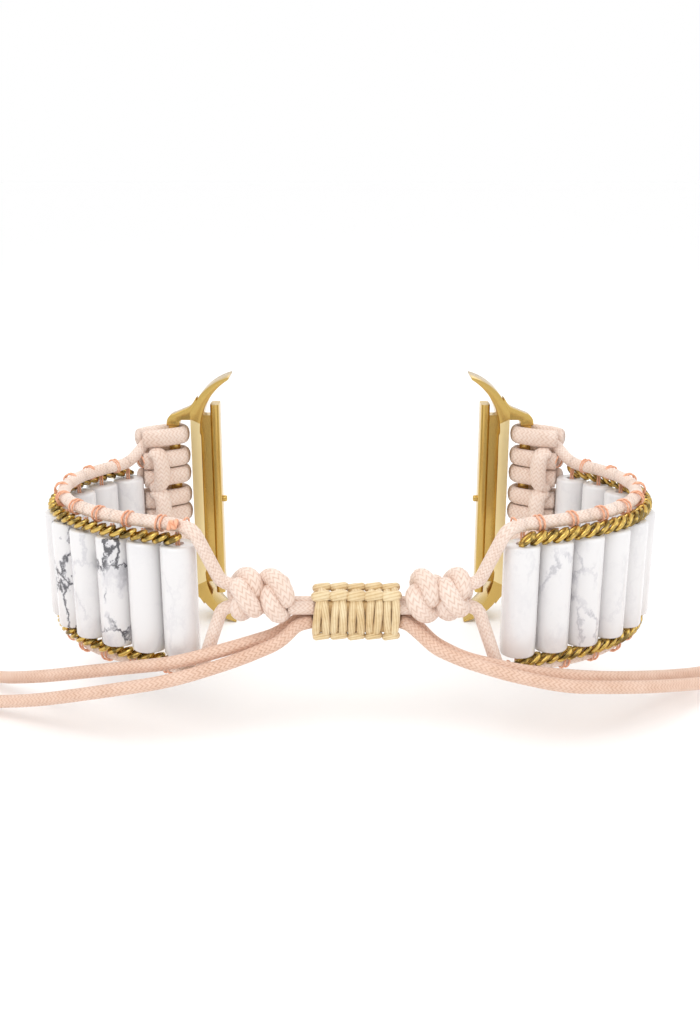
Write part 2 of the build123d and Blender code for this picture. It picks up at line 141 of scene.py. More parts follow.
# %% [markdown]
# ## Shader helpers
#
# One helper adds a shader node, sets it and fills its inputs with values or links. Patterns have their real
# size: a noise whose grains are 0.4 mm wide has a scale of one over 0.4 mm.

# %% Shader helpers


def add(tree, kind, values=None, stops=(), **settings):
    """Adds one shader node with its settings. An input takes a value, an output, or a node's first output."""
    made = tree.nodes.new("ShaderNode" + kind)
    for key, value in settings.items():
        setattr(made, key, value)
    for key, value in (values or {}).items():
        if isinstance(value, bpy.types.Node):
            value = value.outputs[0]
        if isinstance(value, bpy.types.NodeSocket):
            tree.links.new(value, made.inputs[key])
        else:
            made.inputs[key].default_value = value
    elements = made.color_ramp.elements if stops else ()
    while len(elements) < len(stops):
        elements.new(0.5)
    for element, (place, colour) in zip(elements, stops):
        element.position = place
        element.color = to_linear(colour)
    return made


def per(size_mm):
    """The scale of a pattern whose grains have this size."""
    return 1 / (size_mm * MM)


def new_material(name, roughness, metallic=0.0, colour="#ffffff"):
    """A material with one Principled shader, and its node tree."""
    material = bpy.data.materials.new(name)
    material.use_nodes = True
    shader = material.node_tree.nodes["Principled BSDF"]
    shader.inputs["Roughness"].default_value = roughness
    shader.inputs["Metallic"].default_value = metallic
    shader.inputs["Base Color"].default_value = to_linear(colour)
    return material, material.node_tree, shader


print("a grain of 0.5 mm has a scale of", round(per(0.5)))

# %% [markdown]
# ## Cord and thread
#
# The pink cords are braided polyester with a thin coat of wax, the clasp's cord is twisted, and the thread is
# bonded nylon. The tube maker writes UV coordinates: once round a cord is 1 in U, and V is the length in
# millimetres. A sine across the strands therefore keeps their real width on every cord. Fine fibres and
# worn, paler places break up the evenness.

# %% Cord and thread
FIBRE_MM, WORN_MM = 0.4167, 3.03
FIBRE_SHARE, LEVEL_SHARE = 0.35, 0.9
ZIGZAG_SLOPE = 0.8         # how steeply the lines of a braid run
STRAND_ROUNDNESS = 0.4     # a low power gives wide round strands with thin grooves
CORD_SHINE = {"Sheen Weight": 0.2, "Specular IOR Level": 0.4}


def cord_material(name, dark, middle, light, columns, pitch_mm, braided=True, groove=0.5):
    """Cord of plaited or twisted strands, with thin dark lines between them. On a braid the lines zigzag."""
    material, tree, shader = new_material(name, 0.55)
    parts = add(tree, "SeparateXYZ", {0: add(tree, "UVMap")})
    around = add(tree, "Math", {0: parts.outputs["X"], 1: columns}, operation="MULTIPLY")
    if braided:
        zigzag = add(tree, "Math", {0: around, 1: 1.0}, operation="PINGPONG")
        around = add(tree, "Math", {0: zigzag, 1: ZIGZAG_SLOPE}, operation="MULTIPLY")
    along = add(tree, "Math", {0: parts.outputs["Y"], 1: pitch_mm}, operation="DIVIDE")
    slope = add(tree, "Math", {0: around, 1: along}, operation="ADD")
    angle = add(tree, "Math", {0: slope, 1: pi}, operation="MULTIPLY")
    wave = add(tree, "Math", {0: add(tree, "Math", {0: angle}, operation="SINE")}, operation="ABSOLUTE")
    strand = add(tree, "Math", {0: wave, 1: STRAND_ROUNDNESS}, operation="POWER")
    place = add(tree, "TexCoord").outputs["Object"]
    fibres = add(tree, "TexNoise", {"Vector": place, "Scale": per(FIBRE_MM), "Detail": 3.0})
    worn = add(tree, "TexNoise", {"Vector": place, "Scale": per(WORN_MM), "Detail": 2.0})
    level = add(tree, "Math", {0: worn, 1: LEVEL_SHARE - groove}, operation="MULTIPLY")
    level = add(tree, "Math", {0: fibres, 1: FIBRE_SHARE, 2: level}, operation="MULTIPLY_ADD")
    level = add(tree, "Math", {0: strand, 1: groove, 2: level}, operation="MULTIPLY_ADD")
    colour = add(tree, "ValToRGB", {"Fac": level}, stops=[(0.2, dark), (0.62, middle), (0.95, light)])
    tree.links.new(colour.outputs[0], shader.inputs["Base Color"])
    height = add(tree, "Math", {0: fibres, 1: 0.3}, operation="MULTIPLY")
    height = add(tree, "Math", {0: strand, 1: 0.8, 2: height}, operation="MULTIPLY_ADD")
    bump = add(tree, "Bump", {"Height": height, "Strength": 0.75, "Distance": 0.1 * MM})
    tree.links.new(bump.outputs[0], shader.inputs["Normal"])
    for socket, value in CORD_SHINE.items():
        shader.inputs[socket].default_value = value
    return material


# Waxed braid: pale pink with brown hairlines in a herringbone, slightly soft in its gloss.
WAXED = cord_material("polyester cord, braided and waxed", "#b58a70", "#e6cab8", "#f3e1d5", 18, 0.54,
                      groove=0.44)
# The same braid with a darker colour, for the tails: the darker colour is painted shade.
WAXED_PAINTED_SHADE = cord_material("polyester cord, braided and waxed, with painted shade", "#a87357", "#d9b096", "#e9c9b5",
                           16, 0.58)
# Loosely twisted cord: straw yellow, with long strands that show as fine lines along it.
MACRAME = cord_material("polyester cord, twisted", "#9c7440", "#dabb88", "#efdcb6", 9, 2.4, braided=False,
                        groove=0.3)
# Thin bonded thread: strong salmon, so its turns stand out on the pale cords.
THREAD = cord_material("nylon thread, bonded", "#c9744c", "#e9a27c", "#f4bd9c", 2, 0.6, braided=False)
print("cord materials", [m.name for m in (WAXED, WAXED_PAINTED_SHADE, MACRAME, THREAD)])

# %% [markdown]
# ## Stone
#
# The beads are howlite, a soft white stone that is tumbled and polished. Thin grey veins run through it like
# a torn net, and paler clouds lie between them. The net is a Voronoi pattern, seen only near its cell
# edges, bent by noise and shown in patches. Each bead carries a number that says how veined it is.

# %% Stone
VEIN_NET_MM, VEIN_WAVER_MM, VEIN_PATCH_MM, CLOUD_MM = 4.348, 2.381, 5.882, 4.167
VEIN_WAVER = (4 * MM, 4 * MM, 6 * MM)
STONE_STOPS = [(0.0, "#e5e3e3"), (0.25, "#d2d0d3"), (0.6, "#9b9a9e"), (1.0, "#58575b")]
STONE_POLISH = {"Coat Weight": 0.25, "Coat Roughness": 0.1}


def howlite_material():
    """White stone with thin grey veins and soft clouds, under a polish."""
    material, tree, shader = new_material("howlite, polished stone", 0.2)
    place = add(tree, "TexCoord").outputs["Object"]
    veined = add(tree, "Attribute", attribute_name="veined").outputs["Fac"]
    drawn = add(tree, "Mapping", {"Vector": place, "Scale": (1.0, 1.0, 0.7)})
    warp = add(tree, "TexNoise", {"Vector": drawn, "Scale": per(VEIN_WAVER_MM), "Detail": 5.0,
                                  "Roughness": 0.65})
    shift = add(tree, "VectorMath", {0: warp.outputs["Color"], 1: VEIN_WAVER}, operation="MULTIPLY")
    bent = add(tree, "VectorMath", {0: drawn, 1: shift}, operation="ADD")
    net = add(tree, "TexVoronoi", {"Vector": bent, "Scale": per(VEIN_NET_MM)}, feature="DISTANCE_TO_EDGE")
    patch = add(tree, "TexNoise", {"Vector": drawn, "Scale": per(VEIN_PATCH_MM), "Detail": 3.0})
    cloud = add(tree, "TexNoise", {"Vector": bent, "Scale": per(CLOUD_MM), "Detail": 6.0, "Roughness": 0.6})
    more = add(tree, "Math", {0: veined, 1: 0.13, 2: patch}, operation="MULTIPLY_ADD")
    where = add(tree, "MapRange", {"Value": more, "From Min": 0.5, "From Max": 0.64})
    thin = add(tree, "MapRange", {"Value": net, "From Min": 0.01, "From Max": 0.075, "To Min": 1.0,
                                  "To Max": 0.0})
    veins = add(tree, "Math", {0: thin, 1: where}, operation="MULTIPLY")
    veins = add(tree, "Math", {0: veins, 1: veined}, operation="MULTIPLY")
    haze = add(tree, "MapRange", {"Value": cloud, "From Min": 0.5, "From Max": 0.78, "To Max": 0.4})
    hazy = add(tree, "Math", {0: veined, 1: 0.7, 2: 0.35}, operation="MULTIPLY_ADD")
    haze = add(tree, "Math", {0: haze, 1: hazy}, operation="MULTIPLY")
    grey = add(tree, "Math", {0: veins, 1: haze}, operation="MAXIMUM")
    colour = add(tree, "ValToRGB", {"Fac": grey}, stops=STONE_STOPS)
    tree.links.new(colour.outputs[0], shader.inputs["Base Color"])
    for socket, value in STONE_POLISH.items():
        shader.inputs[socket].default_value = value
    return material


# Polished stone: white with a soft, clear gloss, and grey veins that a polish keeps sharp.
HOWLITE = howlite_material()
print(HOWLITE.name, "has veins about", VEIN_NET_MM, "mm apart")

# %% [markdown]
# ## Metal
#
# The adapters are steel with a gold plating, polished on the wings and brushed on the flat rails. The chains
# are plain brass wire, with brown patches of painted shade for the shade between the links. A metal takes its
# colour from its Base Color, and a small unevenness of its roughness keeps it from looking like a mirror.

# %% Metal
POLISH_MM = 1.111


def metal_material(name, colour, roughness, grain=0.06, painted_shade=None):
    """Metal with a faint unevenness in its polish, and patches of painted shade if it has a colour for them.
    """
    material, tree, shader = new_material(name, roughness, 1.0, colour)
    place = add(tree, "TexCoord").outputs["Object"]
    noise = add(tree, "TexNoise", {"Vector": place, "Scale": per(POLISH_MM), "Detail": 2.0})
    if painted_shade:
        patches = add(tree, "ValToRGB", {"Fac": noise}, stops=[(0.4, painted_shade), (0.52, colour)])
        tree.links.new(patches.outputs[0], shader.inputs["Base Color"])
    uneven = add(tree, "MapRange", {"Value": noise, "To Min": roughness - grain, "To Max": roughness + grain})
    tree.links.new(uneven.outputs[0], shader.inputs["Roughness"])
    return material


# Polished plating: warm yellow, with clear reflections that blur a little.
GOLD = metal_material("gold plating, polished", "#cbab62", 0.22)
# Brushed plating: paler, because its scratches spread the light.
GOLD_SATIN = metal_material("gold plating, satin brushed", "#ecd9a4", 0.42)
# Drawn brass wire: bright, with brown patches of painted shade that stand in for the shade between the links.
BRASS = metal_material("brass wire, bright drawn", "#d3b262", 0.22, painted_shade="#7f6a3c")
# Pale paper: a dull white that takes a soft shadow.
PAPER = new_material("pale paper", 0.8)[0]

floor_bm = bmesh.new()
bmesh.ops.create_grid(floor_bm, x_segments=1, y_segments=1, size=FLOOR_SIZE)
floor_mesh = bpy.data.meshes.new("floor")
floor_bm.to_mesh(floor_mesh)
floor_bm.free()
floor_mesh.transform(Matrix.Translation((0, 0, FLOOR_Z - FLOOR_DROP)))
floor_mesh.materials.append(PAPER)
floor = bpy.data.objects.new("floor", floor_mesh)
bpy.context.collection.objects.link(floor)
print("materials", len(bpy.data.materials))

# %% [markdown]
# ## Paths and tubes
#
# A path is a list of corner points whose corners are rounded. A tube is a row of circles along the path,
# bridged one to the next. The same rings serve two neighbouring pieces of one cord, so a cord that is cut
# where two beads meet still looks whole.

# %% Paths and tubes
BEND_STEPS = 8             # short runs that draw one rounded corner
STEEP = 0.8                # a tangent with more than this of it upright is across the floor's plane


def rounded(corners, share=0.45, step=0.5):
    """Points along straight runs whose corners are rounded, about a step apart."""
    corners = [Vector(c) for c in corners]
    rough = [corners[0]]
    for a, b, c in zip(corners, corners[1:], corners[2:]):
        reach = share * min((b - a).length, (c - b).length)
        first = b - (b - a).normalized() * reach
        last = b + (c - b).normalized() * reach
        for i in range(BEND_STEPS + 1):
            t = i / BEND_STEPS
            rough.append(first * (1 - t) ** 2 + b * 2 * t * (1 - t) + last * t ** 2)
    rough.append(corners[-1])
    return even(rough, step)


def even(points, step):
    """The same line with points an equal distance apart."""
    lengths = [(b - a).length for a, b in zip(points, points[1:])]
    count = max(2, round(sum(lengths) / step))
    made, run, i = [points[0].copy()], 0.0, 0
    for k in range(1, count):
        goal = sum(lengths) * k / count
        while run + lengths[i] < goal:
            run += lengths[i]
            i += 1
        made.append(points[i].lerp(points[i + 1], (goal - run) / lengths[i]))
    return made + [points[-1].copy()]


def ring_frames(points, closed=False, side=None):
    """For each point, the tangent and two directions across it, carried along without twisting."""
    count = len(points)
    frames = []
    across = Vector(side) if side else None
    for i in range(count):
        before = points[(i - 1) % count] if closed or i else points[0]
        after = points[(i + 1) % count] if closed or i < count - 1 else points[-1]
        tangent = (after - before).normalized()
        if across is None:
            across = Vector((0, 0, 1)) if abs(tangent.z) < STEEP else Vector((0, 1, 0))
        across = (across - tangent * across.dot(tangent)).normalized()
        frames.append((points[i], tangent, across, tangent.cross(across)))
    return frames


def add_tube(bm, frames, radius, sides=12, flat=1.0, closed=False, start_mm=0.0):
    """Adds a tube along ring frames. Flat widens the section in its first direction across."""
    uv = bm.loops.layers.uv.verify()
    rings, runs, where, run = [], [], {}, start_mm
    for k, (point, tangent, across, other) in enumerate(frames):
        matrix = Matrix((across * radius * flat, other * radius, tangent)).transposed().to_4x4()
        matrix.translation = point
        made = bmesh.ops.create_circle(bm, segments=sides, radius=1.0, matrix=matrix)["verts"]
        if k:
            run += (point - frames[k - 1][0]).length
        runs.append(run)
        for j, vert in enumerate(made):
            where[vert] = (k, j)
        rings.append({edge for vert in made for edge in vert.link_edges})
    pairs = list(zip(rings, rings[1:])) + ([(rings[-1], rings[0])] if closed else [])
    lap = run + (frames[-1][0] - frames[0][0]).length
    for first, second in pairs:
        faces = bmesh.ops.bridge_loops(bm, edges=list(first | second))["faces"]
        for face in faces:
            spots = [where[loop.vert] for loop in face.loops]
            wraps = max(s[1] for s in spots) - min(s[1] for s in spots) > sides / 2
            laps = closed and max(s[0] for s in spots) - min(s[0] for s in spots) > 1
            for loop, (k, j) in zip(face.loops, spots):
                u = j / sides + (1 if wraps and j < sides / 2 else 0)
                v = lap if laps and k == 0 else runs[k]
                loop[uv].uv = (u, v)
    if not closed:
        for ring in (rings[0], rings[-1]):
            bmesh.ops.contextual_create(bm, geom=list(ring))


def finish_mesh(name, bm, *materials, sharp=None):
    """Turns millimetres into metres and makes the object, smooth shaded."""
    bmesh.ops.recalc_face_normals(bm, faces=bm.faces)
    bmesh.ops.scale(bm, vec=(MM, MM, MM), verts=bm.verts)
    name = name.replace(" ", "-")
    mesh = bpy.data.meshes.new(name)
    bm.to_mesh(mesh)
    bm.free()
    obj = bpy.data.objects.new(name, mesh)
    bpy.context.collection.objects.link(obj)
    for material in materials:
        mesh.materials.append(material)
    mesh.shade_smooth()
    if sharp:
        mesh.set_sharp_from_angle(angle=radians(sharp))
    return obj


def bevel_sharp(bm, width, segments=2, angle=30):
    """Rounds every edge that is sharper than an angle."""
    edges = [e for e in bm.edges if len(e.link_faces) == 2 and e.calc_face_angle(0) > radians(angle)]
    bmesh.ops.bevel(bm, geom=edges, offset=width, segments=segments, profile=0.5, affect="EDGES", material=-1)


print("helpers ready")

# %% [markdown]
# ## The plan of a strap
#
# Each strap leaves its adapter at an angle and turns a little at every gap between beads. The same turns
# were used for the CAD model, so beads and joints fall in the same places.

# %% The plan of a strap
BAR = (23.75, -1.8)
FIRST_HEADING = 34
HITCH_LENGTH = 5.0
BEAD_PITCH = 4.2
TURNS = (6, 12, 17, 19, 19, 18, 15, 12, 7, 2)
STRAP_Z = -1.9
BEAD_R, BEAD_LENGTH = 2.0, 13.0
CORD_R = 0.75
CORD_RISE, CORD_IN = 2.05, 0.35        # from the bead's end to the cord's middle, and towards the wrist
CHAIN_RISE, CHAIN_OUT = 0.74, 0.9      # and of the chain, towards the outer side
SIDES = {"left": -1, "right": 1}


def step_along(point, heading, distance):
    """The plan point a distance away. Headings turn from +X towards -Y."""
    return (point[0] + distance * cos(radians(heading)), point[1] - distance * sin(radians(heading)))


def beside(place, out):
    """A plan point beside a bead's centre, towards the band's outer side if out is positive."""
    (x, y), heading = place
    return (x + out * sin(radians(heading)), y + out * cos(radians(heading)))


heading = FIRST_HEADING
gap = step_along(BAR, heading, HITCH_LENGTH)
GAPS, BEADS = [gap], []
for turn in TURNS:
    heading += turn
    centre = step_along(gap, heading, BEAD_PITCH / 2)
    gap = step_along(centre, heading, BEAD_PITCH / 2)
    BEADS.append((centre, heading))
    GAPS.append(gap)
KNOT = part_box("right_cord_knot")
KNOT_X, CLASP_Y, CLASP_Z = [(a + b) / 2 / MM for a, b in zip(*KNOT)]
KNOT_HALF = (KNOT[1].x - KNOT[0].x) / 2 / MM
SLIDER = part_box("slider")
SLIDER_X, SLIDER_Z = [(SLIDER[0][i] + SLIDER[1][i]) / 2 / MM for i in (0, 2)]
SLIDER_HALF = (SLIDER[1].x - SLIDER[0].x) / 2 / MM
print("knots at", round(KNOT_X, 2), round(CLASP_Y, 2), round(CLASP_Z, 2))


def mirrored(points, sign):
    """The points on the right or left side."""
    return [Vector((sign * p[0], p[1], p[2])) for p in points]


# %% [markdown]
# ## Tails
#
# Four cords leave the slider's lower half, droop in front of the straps and lie on the floor. Each is a
# tube along the same corner points as in the CAD model, and ends in a stopper knot.

# %% Tails
TAIL_DOWN = FLOOR_Z / MM + CORD_R
TAIL_ROUTES = {
    "right_tail_front": ((6.5, -34.7, -4.28), (7.7, -35.2, -5.2), (9.4, -36.3, -6.5), (12.4, -37.5, -7.4),
                         (16.8, -38.2, -8.6), (23.5, -38.4, -10.1), (33.0, -34.6, -12.0), (42.5, -26.6, -15.4),
                         (53.0, -21.8, TAIL_DOWN), (64.5, -20.6, TAIL_DOWN), (76.0, -23.8, TAIL_DOWN)),
    "right_tail_rear": ((6.5, -32.85, -4.28), (7.7, -32.9, -5.35), (9.4, -33.8, -6.9), (12.6, -35.5, -8.0),
                        (19.5, -36.4, -9.3), (28.0, -34.5, -10.9), (36.0, -29.0, -13.4), (44.0, -21.8, -16.3),
                        (53.5, -16.5, TAIL_DOWN), (65.0, -14.5, TAIL_DOWN), (76.0, -16.8, TAIL_DOWN)),
    "left_tail_front": ((-5.8, -34.7, -4.3), (-7.8, -35.9, -6.0), (-12.4, -37.0, -7.6), (-19.5, -38.2, -9.5),
                        (-28.5, -36.8, -11.6), (-36.5, -33.2, -14.4), (-44.5, -29.2, -16.5),
                        (-55.0, -25.0, TAIL_DOWN), (-66.5, -24.6, TAIL_DOWN), (-77.5, -27.6, TAIL_DOWN)),
    "left_tail_rear": ((-5.8, -32.8, -4.4), (-8.2, -33.4, -6.0), (-12.6, -35.7, -6.5), (-19.0, -36.7, -8.0),
                       (-28.0, -33.9, -10.2), (-36.5, -29.6, -13.1), (-44.0, -23.4, -16.2),
                       (-53.5, -17.4, TAIL_DOWN), (-64.5, -15.4, TAIL_DOWN), (-76.0, -18.0, TAIL_DOWN)),
}
CORE_SPREAD = 0.8          # the clasp's four cords stand this far from its middle, both ways
TAIL_GAP = 0.05            # between the slider's end and the start of a tail
STOPPER_AHEAD, STOPPER_RISE = 0.9, 0.9
STOPPER_R, STOPPER_CORD_R, STOPPER_LEAN = 0.85, 0.78, 0.35
STOPPER_TURNS = (-0.75, 0.35)


def loop_points(centre, axis, across, radius, other_radius, count=18, lean=0.0):
    """Points round a leaning oval loop: its plane is square to the axis, tilted by lean along it."""
    axis, across = Vector(axis).normalized(), Vector(across).normalized()
    other = axis.cross(across)
    made = []
    for i in range(count):
        a = 2 * pi * i / count
        point = across * (radius * cos(a)) + other * (other_radius * sin(a)) + axis * (lean * cos(a))
        made.append(Vector(centre) + point)
    return made


def add_turns(bm, centre, axis, across, radius, cord_r, places, lean, sides=12):
    """Adds closed turns of cord round an axis, each at its place along the axis and leaning."""
    for k, place in enumerate(places):
        middle = Vector(centre) + Vector(axis).normalized() * place
        points = loop_points(middle, axis, across, radius, radius, 20, lean if k % 2 == 0 else -lean)
        add_tube(bm, ring_frames(points, closed=True), cord_r, sides, closed=True, start_mm=k * 1.7)


for name, route in TAIL_ROUTES.items():
    sign = SIDES[name.split("_")[0]]
    row = -CORE_SPREAD if name.endswith("front") else CORE_SPREAD
    start = (SLIDER_X + sign * (SLIDER_HALF + TAIL_GAP), CLASP_Y + row, SLIDER_Z - CORE_SPREAD)
    line = rounded((start, *route))
    bm = bmesh.new()
    add_tube(bm, ring_frames(line), CORD_R, 14)
    # The tails and their stopper knots take the darker braid, whose darker colour is painted shade.
    tail = finish_mesh(name.replace("_", " "), bm, WAXED_PAINTED_SHADE)
    end, before = line[-1], line[-3]
    direction = (end - before).normalized()
    centre = end + direction * STOPPER_AHEAD + Vector((0, 0, STOPPER_RISE))
    bm = bmesh.new()
    add_turns(bm, centre, direction, (0, 0, 1), STOPPER_R, STOPPER_CORD_R, STOPPER_TURNS, STOPPER_LEAN)
    knot = finish_mesh(name.replace("_", " ") + " knot", bm, WAXED_PAINTED_SHADE)
    for obj, node in ((tail, name), (knot, name + "_knot")):
        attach(obj, "slider")
        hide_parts(node)

# %% [markdown]
# ## Adapters
#
# The plate is a flat outline, extruded: a rail beside the seat, with a wing above and below that hugs the
# case's round corner and thins to its tip. Two ears carry the bar, and a tongue runs along the inner face.

# %% Adapters
SEAT_X, SEAT_CORNER, SEAT_CORNER_Z = 20.0, 8.25, 10.0
RAIL_X, EAR_TOP, EAR_THICK, EAR_DROP = 21.4, 12.6, 0.9, 0.75
EAR_RISE, EAR_FLARE, EAR_ROOT, EAR_FILLET, EAR_THROAT = 0.7, 1.5, 0.5, 1.3, 0.4
EAR_SLOPE = ((-0.35, 0.6), (0.0, 0.22), (0.45, -0.02), (0.9, -0.2))    # its top, from the rail's outer edge
EAR_EDGE, EAR_FRONT, EAR_DEPTH, EAR_ROUND = 0.1, 0.97, 1.94, 0.12
SLOPE_END = radians(80)    # where the slope meets the round corner
THROAT_LEAD = 0.9
PLATE_BACK, PLATE_DEPTH, PLATE_ROUND = 2.4, 5.2, 0.1
WING_TIP_X, WING_GAP, WING_TIP_THICK, WING_MIDDLE_THICK = 16.1, 0.15, 0.3, 0.85
WING_LEAD, WING_STEP = 0.4, 0.9        # the rail is split this far below its corner, and in steps beyond it
SATIN_ABOVE, SATIN_INSIDE, FACING = 1.5, 1.0, 0.9
BAR_R = 0.75
TONGUE_LENGTH = 27.0
NECK_DEEP, NECK_HALF, NECK_ROOT, NECK_REACH = 1.1, 0.95, 0.3, 12.0
HEAD_DEEP, HEAD_HALF, HEAD_ROUND = 1.2, 1.45, 0.45
SMOOTH_BELOW = 40          # degrees between faces that still look smooth


def arc(centre, radius, start, end, count):
    """Points on an arc in the XZ plane."""
    return [(centre[0] + radius * cos(start + (end - start) * i / count),
             centre[1] + radius * sin(start + (end - start) * i / count)) for i in range(count + 1)]


def arc_through(first, middle, last, count):
    """Points on the arc that passes through three points of the XZ plane."""
    matrix = Matrix([[2 * (p[0] - first[0]), 2 * (p[1] - first[1])] for p in (middle, last)])
    right = Vector([p[0] ** 2 - first[0] ** 2 + p[1] ** 2 - first[1] ** 2 for p in (middle, last)])
    centre = matrix.inverted() @ right
    angles = [atan2(p[1] - centre[1], p[0] - centre[0]) for p in (first, last)]
    return arc(centre, sqrt((first[0] - centre[0]) ** 2 + (first[1] - centre[1]) ** 2), *angles, count)


def extruded(bm, rows, back, depth):
    """A strip of faces between two lines in the XZ plane, drawn out towards -Y."""
    pairs = [[bm.verts.new((x, back, z)) for x, z in row] for row in rows]
    faces = [bm.faces.new((a[0], a[1], b[1], b[0])) for a, b in zip(pairs, pairs[1:])]
    made = bmesh.ops.extrude_face_region(bm, geom=faces)["geom"]
    verts = [v for v in made if isinstance(v, bmesh.types.BMVert)]
    bmesh.ops.translate(bm, vec=(0, -depth, 0), verts=verts)


def block(bm, low, high):
    """A box between two corners."""
    middle = [(a + b) / 2 for a, b in zip(low, high)]
    size = Matrix.Diagonal([b - a for a, b in zip(low, high)] + [1.0])
    return bmesh.ops.create_cube(bm, size=1.0, matrix=Matrix.Translation(middle) @ size)["verts"]


def add_ear(bm, up):
    """Adds one ear: it flares out of the wing, slopes down and hooks round the bar's end."""
    outside, inside = BAR[0] + BAR_R + EAR_EDGE, BAR[0] - BAR_R - EAR_EDGE
    under, high = EAR_TOP - EAR_THICK, EAR_TOP + EAR_RISE
    top = [(SEAT_X + EAR_ROOT, high + EAR_FLARE)] + [(RAIL_X + x, high + z) for x, z in EAR_SLOPE]
    top += arc((outside - EAR_FILLET, EAR_TOP - EAR_FILLET), EAR_FILLET, SLOPE_END, 0, 8)
    top.append((outside, under - EAR_DROP))
    bottom = [(SEAT_X + EAR_ROOT, under)] * 2 + [(RAIL_X, under), (inside - THROAT_LEAD, under)]
    bottom += arc((inside - EAR_THROAT, under - EAR_THROAT), EAR_THROAT, pi / 2, 0, 5)
    bottom = even_out(bottom + [(inside, under - EAR_DROP)], len(top))
    parts = bmesh.new()
    rows = [((x, up * z), (u, up * w)) for (x, z), (u, w) in zip(top, bottom)]
    extruded(parts, rows, BAR[1] + EAR_FRONT, EAR_DEPTH)
    bmesh.ops.remove_doubles(parts, verts=parts.verts, dist=1e-4)
    bmesh.ops.recalc_face_normals(parts, faces=parts.faces)
    bevel_sharp(parts, EAR_ROUND, 3, angle=50)
    joined = bpy.data.meshes.new("ear")
    parts.to_mesh(joined)
    parts.free()
    bm.from_mesh(joined)
    bpy.data.meshes.remove(joined)


def even_out(points, count):
    """A list of a given length, its last point repeated or its tail cut."""
    return (points + [points[-1]] * count)[:count]


def build_adapter(side):
    """One adapter. Rail faces are satin and the rest is polished."""
    sign = SIDES[side]
    corner_x, inner_r = SEAT_X - SEAT_CORNER, SEAT_CORNER + WING_GAP
    tip_z = SEAT_CORNER_Z + sqrt(inner_r ** 2 - (WING_TIP_X - corner_x) ** 2)
    tip_angle = atan2(tip_z - SEAT_CORNER_Z, WING_TIP_X - corner_x)
    inner = arc((corner_x, SEAT_CORNER_Z), inner_r, 0, tip_angle, 14)
    diagonal = (inner_r + WING_MIDDLE_THICK) / sqrt(2)
    outer = arc_through((RAIL_X, EAR_TOP), (corner_x + diagonal, SEAT_CORNER_Z + diagonal),
                        (WING_TIP_X, tip_z + WING_TIP_THICK), 11)
    beyond = [(RAIL_X, SEAT_CORNER_Z + k * WING_STEP) for k in range(3)] + outer
    upper = [((SEAT_X, z), (RAIL_X, z)) for z in (0, SEAT_CORNER_Z - WING_LEAD)] + list(zip(inner, beyond))
    lower = [tuple((x, -z) for x, z in pair) for pair in reversed(upper[1:])]
    bm = bmesh.new()
    extruded(bm, lower + upper, PLATE_BACK, PLATE_DEPTH)
    bmesh.ops.recalc_face_normals(bm, faces=bm.faces)
    bevel_sharp(bm, PLATE_ROUND)
    for face in bm.faces:
        middle = face.calc_center_median()
        on_rail = abs(middle.z) < SEAT_CORNER_Z + SATIN_ABOVE and middle.x > SEAT_X - SATIN_INSIDE
        if on_rail and abs(face.normal.y) > FACING:
            face.material_index = 1
    for up in (1, -1):
        add_ear(bm, up)
    bmesh.ops.create_cone(bm, cap_ends=True, segments=24, radius1=BAR_R, radius2=BAR_R,
                          depth=2 * (EAR_TOP - EAR_FILLET), matrix=Matrix.Translation((BAR[0], BAR[1], 0)))
    neck_x, end = SEAT_X - NECK_DEEP, TONGUE_LENGTH / 2
    block(bm, (neck_x, -NECK_HALF, -NECK_REACH), (SEAT_X + NECK_ROOT, NECK_HALF, NECK_REACH))
    head = block(bm, (neck_x - HEAD_DEEP, -HEAD_HALF, -end), (neck_x, HEAD_HALF, end))
    edges = list({e for v in head for e in v.link_edges if abs(e.verts[0].co.z - e.verts[1].co.z) > 1})
    bmesh.ops.bevel(bm, geom=edges, offset=HEAD_ROUND, segments=4, profile=0.5, affect="EDGES", material=-1)
    bmesh.ops.scale(bm, vec=(sign, 1, 1), verts=bm.verts)
    obj = finish_mesh(side + " adapter", bm, GOLD, GOLD_SATIN, sharp=SMOOTH_BELOW)
    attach(obj, side + "_adapter")
    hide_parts(side + "_adapter")
    return obj


for side in SIDES:
    adapter = build_adapter(side)
    print(adapter.name, len(adapter.data.polygons), "faces")
for side in SIDES:
    for node in ("latch_pin", "latch_spring"):
        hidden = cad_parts[f"{side}_{node}"]
        hidden.data.materials.clear()
        hidden.data.materials.append(GOLD)

# %% [markdown]
# ## Cord hitches
#
# Flat turns of cord go round the bar and back to the first bead. A bight crosses each pair of turns on the
# wrist side.

# %% Cord hitches
WRAPS, WRAP_PITCH = 8, 2.72
WRAP_R, WRAP_DIP = 1.425, 0.75
WRAP_RUN = ((4.9, WRAP_R - WRAP_DIP), (3.6, WRAP_R), (0.6, WRAP_R))    # along the strap, and out from the bar
WRAP_THICK, WRAP_FLATTEN = 0.68, 1.72
BIGHT_PAIRS = ((1, 2), (3, 4), (5, 6))
BIGHT_AT, BIGHT_OVER = 3.3, 0.85
BIGHT_RUN = ((0.4, -1.3, 0.25), (0.0, -2.15, 0.1), (-0.1, -2.5, -1.0))  # along, out, and above the turn
BIGHT_THICK, BIGHT_FLATTEN = 0.8, 1.6
PAIR_SHIFT = 0.14          # the turns of a pair lie this much closer together


def from_bar(along, out, z):
    """A point near the bar: along the strap's first heading, and out towards the outer side."""
    h = radians(FIRST_HEADING)
    return (BAR[0] + along * cos(h) + out * sin(h), BAR[1] - along * sin(h) + out * cos(h), z)


